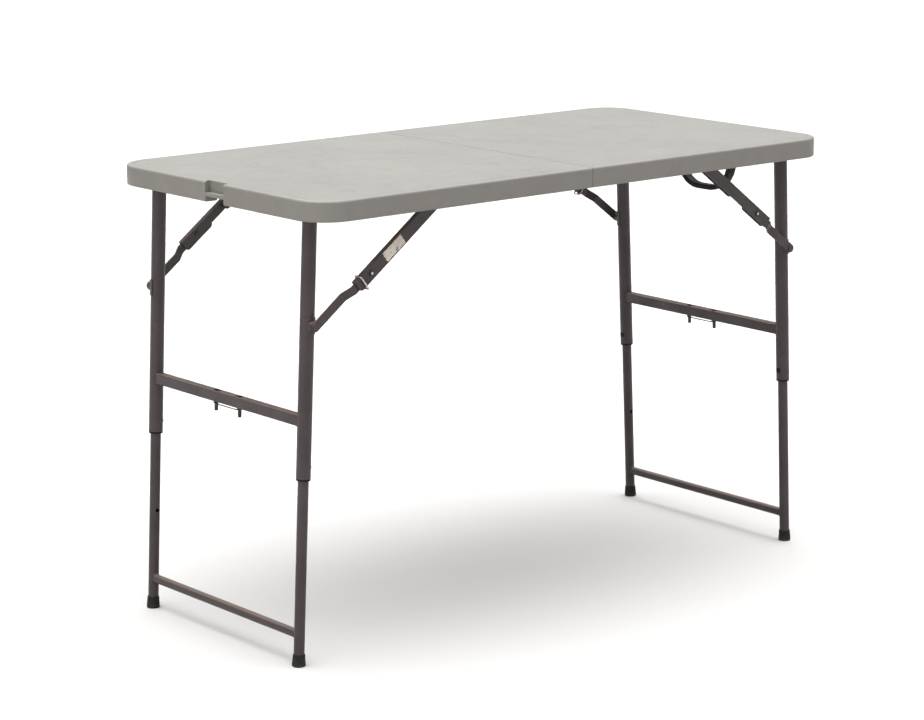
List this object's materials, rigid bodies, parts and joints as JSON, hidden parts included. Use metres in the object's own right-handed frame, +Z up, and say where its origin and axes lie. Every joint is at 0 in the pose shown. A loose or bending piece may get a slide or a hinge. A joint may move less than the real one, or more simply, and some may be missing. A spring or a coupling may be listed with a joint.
{
  "type": "folding utility table",
  "caption": "Rectangular moulded-top table that folds in half at a centre seam, on tubular leg frames with folding braces, telescopic height setting and a carrying handle.",
  "frame": {"origin": "on the floor, under the middle of the table", "axes": "+X along the table's length to the end with the handle, +Y across to the rear, +Z up"},
  "size_m": [1.2306, 0.61, 0.816],
  "materials": {
    "top_plastic": "light warm grey moulded polyethylene with a fine texture",
    "frame_paint": "dark taupe powder coat over steel",
    "black_plastic": "black moulded nylon",
    "black_rubber": "black rubber",
    "plated_steel": "bright zinc plated steel",
    "black_steel": "blackened steel"
  },
  "bodies": {
    "left_top": {"left_top_half": "top_plastic", "left_front_rail": "frame_paint", "left_rear_rail": "frame_paint", "left_hinge_leaves": "plated_steel", "left_rail_screws": "plated_steel", "left_brace_anchor_pins": "plated_steel"},
    "right_top": {"right_top_half": "top_plastic", "right_front_rail": "frame_paint", "right_rear_rail": "frame_paint", "right_hinge_leaves": "plated_steel", "right_rail_screws": "plated_steel", "right_brace_anchor_pins": "plated_steel", "handle_brackets": "black_steel"},
    "handle": {"carry_handle": "black_plastic"},
    "right_leg_frame": {"right_pivot_tube": "frame_paint", "right_front_outer_tube": "frame_paint", "right_rear_outer_tube": "frame_paint", "right_crossbar": "frame_paint", "right_leg_bushes": "black_plastic", "right_brace_saddles": "frame_paint", "right_lock_spring": "black_steel"},
    "right_leg_extension": {"right_front_inner_tube": "frame_paint", "right_rear_inner_tube": "frame_paint", "right_stretcher": "frame_paint", "right_feet": "black_rubber", "right_glide_plugs": "black_plastic"},
    "right_front_lock": {"right_front_lock_rod": "black_steel"},
    "right_rear_lock": {"right_rear_lock_rod": "black_steel"},
    "right_front_upper_brace": {"right_front_upper_brace": "frame_paint", "right_front_brace_joint_rivet": "black_steel"},
    "right_front_lower_brace": {"right_front_lower_brace": "frame_paint", "right_front_brace_foot_rivet": "frame_paint"},
    "right_rear_upper_brace": {"right_rear_upper_brace": "frame_paint", "right_rear_brace_joint_rivet": "black_steel"},
    "right_rear_lower_brace": {"right_rear_lower_brace": "frame_paint", "right_rear_brace_foot_rivet": "frame_paint"},
    "left_leg_frame": {"left_pivot_tube": "frame_paint", "left_front_outer_tube": "frame_paint", "left_rear_outer_tube": "frame_paint", "left_crossbar": "frame_paint", "left_leg_bushes": "black_plastic", "left_brace_saddles": "frame_paint", "left_lock_spring": "black_steel"},
    "left_leg_extension": {"left_front_inner_tube": "frame_paint", "left_rear_inner_tube": "frame_paint", "left_stretcher": "frame_paint", "left_feet": "black_rubber", "left_glide_plugs": "black_plastic"},
    "left_front_lock": {"left_front_lock_rod": "black_steel"},
    "left_rear_lock": {"left_rear_lock_rod": "black_steel"},
    "left_front_upper_brace": {"left_front_upper_brace": "frame_paint", "left_front_brace_joint_rivet": "black_steel"},
    "left_front_lower_brace": {"left_front_lower_brace": "frame_paint", "left_front_brace_foot_rivet": "frame_paint"},
    "left_rear_upper_brace": {"left_rear_upper_brace": "frame_paint", "left_rear_brace_joint_rivet": "black_steel"},
    "left_rear_lower_brace": {"left_rear_lower_brace": "frame_paint", "left_rear_brace_foot_rivet": "frame_paint"},
    "left_brace_lock_ring": {"left_brace_lock_ring": "plated_steel"},
    "right_brace_lock_ring": {"right_brace_lock_ring": "plated_steel"}
  },
  "joints": [
    {"name": "centre_fold", "type": "hinge", "parent": "left_top", "child": "right_top", "pos_m": [0, 0, 0.7794], "axis": [0, 1, 0], "range_deg": [0, 72]},
    {"name": "right_leg_fold", "type": "hinge", "parent": "right_top", "child": "right_leg_frame", "pos_m": [0.566, 0, 0.792], "axis": [0, 1, 0], "range_deg": [0, 92.7]},
    {"name": "right_leg_extension_slide", "type": "slide", "parent": "right_leg_frame", "child": "right_leg_extension", "axis": [-0.0471, 0, 0.9989], "range_m": [0, 0.2463]},
    {"name": "right_front_lock_slide", "type": "slide", "parent": "right_leg_frame", "child": "right_front_lock", "axis": [0, 1, 0], "range_m": [0, 0.008], "stiffness_N_per_m": 400, "springref_m": -0.008, "deforming": ["right_lock_spring"]},
    {"name": "right_rear_lock_slide", "type": "slide", "parent": "right_leg_frame", "child": "right_rear_lock", "axis": [0, -1, 0], "range_m": [0, 0.008], "stiffness_N_per_m": 400, "springref_m": -0.008},
    {"name": "right_front_upper_brace_turn", "type": "hinge", "parent": "right_top", "child": "right_front_upper_brace", "pos_m": [0.3119, -0.256, 0.792], "axis": [0, 1, 0], "range_deg": [-36.8, 0]},
    {"name": "right_front_lower_brace_turn", "type": "hinge", "parent": "right_front_upper_brace", "child": "right_front_lower_brace", "pos_m": [0.46638, -0.256, 0.67647], "axis": [0, 1, 0], "range_deg": [0, 180]},
    {"name": "right_rear_upper_brace_turn", "type": "hinge", "parent": "right_top", "child": "right_rear_upper_brace", "pos_m": [0.3119, 0.256, 0.792], "axis": [0, 1, 0], "range_deg": [-36.8, 0]},
    {"name": "right_rear_lower_brace_turn", "type": "hinge", "parent": "right_rear_upper_brace", "child": "right_rear_lower_brace", "pos_m": [0.46638, 0.256, 0.67647], "axis": [0, 1, 0], "range_deg": [0, 180]},
    {"name": "left_leg_fold", "type": "hinge", "parent": "left_top", "child": "left_leg_frame", "pos_m": [-0.566, 0, 0.792], "axis": [0, -1, 0], "range_deg": [0, 92.7]},
    {"name": "left_leg_extension_slide", "type": "slide", "parent": "left_leg_frame", "child": "left_leg_extension", "axis": [0.0471, 0, 0.9989], "range_m": [0, 0.2463]},
    {"name": "left_front_lock_slide", "type": "slide", "parent": "left_leg_frame", "child": "left_front_lock", "axis": [0, 1, 0], "range_m": [0, 0.008], "stiffness_N_per_m": 400, "springref_m": -0.008, "deforming": ["left_lock_spring"]},
    {"name": "left_rear_lock_slide", "type": "slide", "parent": "left_leg_frame", "child": "left_rear_lock", "axis": [0, -1, 0], "range_m": [0, 0.008], "stiffness_N_per_m": 400, "springref_m": -0.008},
    {"name": "left_front_upper_brace_turn", "type": "hinge", "parent": "left_top", "child": "left_front_upper_brace", "pos_m": [-0.3119, -0.256, 0.792], "axis": [0, -1, 0], "range_deg": [-36.8, 0]},
    {"name": "left_front_lower_brace_turn", "type": "hinge", "parent": "left_front_upper_brace", "child": "left_front_lower_brace", "pos_m": [-0.46638, -0.256, 0.67647], "axis": [0, -1, 0], "range_deg": [0, 180]},
    {"name": "left_rear_upper_brace_turn", "type": "hinge", "parent": "left_top", "child": "left_rear_upper_brace", "pos_m": [-0.3119, 0.256, 0.792], "axis": [0, -1, 0], "range_deg": [-36.8, 0]},
    {"name": "left_rear_lower_brace_turn", "type": "hinge", "parent": "left_rear_upper_brace", "child": "left_rear_lower_brace", "pos_m": [-0.46638, 0.256, 0.67647], "axis": [0, -1, 0], "range_deg": [0, 180]},
    {"name": "left_brace_lock_ring_slide", "type": "slide", "parent": "left_front_upper_brace", "child": "left_brace_lock_ring", "axis": [0.8008, 0, 0.5989], "range_m": [0, 0.186]},
    {"name": "right_brace_lock_ring_slide", "type": "slide", "parent": "right_rear_upper_brace", "child": "right_brace_lock_ring", "axis": [-0.8008, 0, 0.5989], "range_m": [0, 0.186]},
    {"name": "handle_swing", "type": "hinge", "parent": "right_top", "child": "handle", "pos_m": [0.597, 0.008, 0.766], "axis": [0, 1, 0], "range_deg": [-70, 85]}
  ],
  "couplings": [
    {"joint": "right_rear_lock_slide", "follows": "right_front_lock_slide", "ratio": 1},
    {"joint": "right_front_upper_brace_turn", "follows": "right_leg_fold", "ratio": -0.39689},
    {"joint": "right_front_lower_brace_turn", "follows": "right_leg_fold", "ratio": 1.9417},
    {"joint": "right_rear_upper_brace_turn", "follows": "right_leg_fold", "ratio": -0.39689},
    {"joint": "right_rear_lower_brace_turn", "follows": "right_leg_fold", "ratio": 1.9417},
    {"joint": "left_rear_lock_slide", "follows": "left_front_lock_slide", "ratio": 1},
    {"joint": "left_front_upper_brace_turn", "follows": "left_leg_fold", "ratio": -0.39689},
    {"joint": "left_front_lower_brace_turn", "follows": "left_leg_fold", "ratio": 1.9417},
    {"joint": "left_rear_upper_brace_turn", "follows": "left_leg_fold", "ratio": -0.39689},
    {"joint": "left_rear_lower_brace_turn", "follows": "left_leg_fold", "ratio": 1.9417},
    {"joint": "left_brace_lock_ring_slide", "follows": "left_leg_fold", "m_per_rad": 0.11471},
    {"joint": "right_brace_lock_ring_slide", "follows": "right_leg_fold", "m_per_rad": 0.11471}
  ]
}
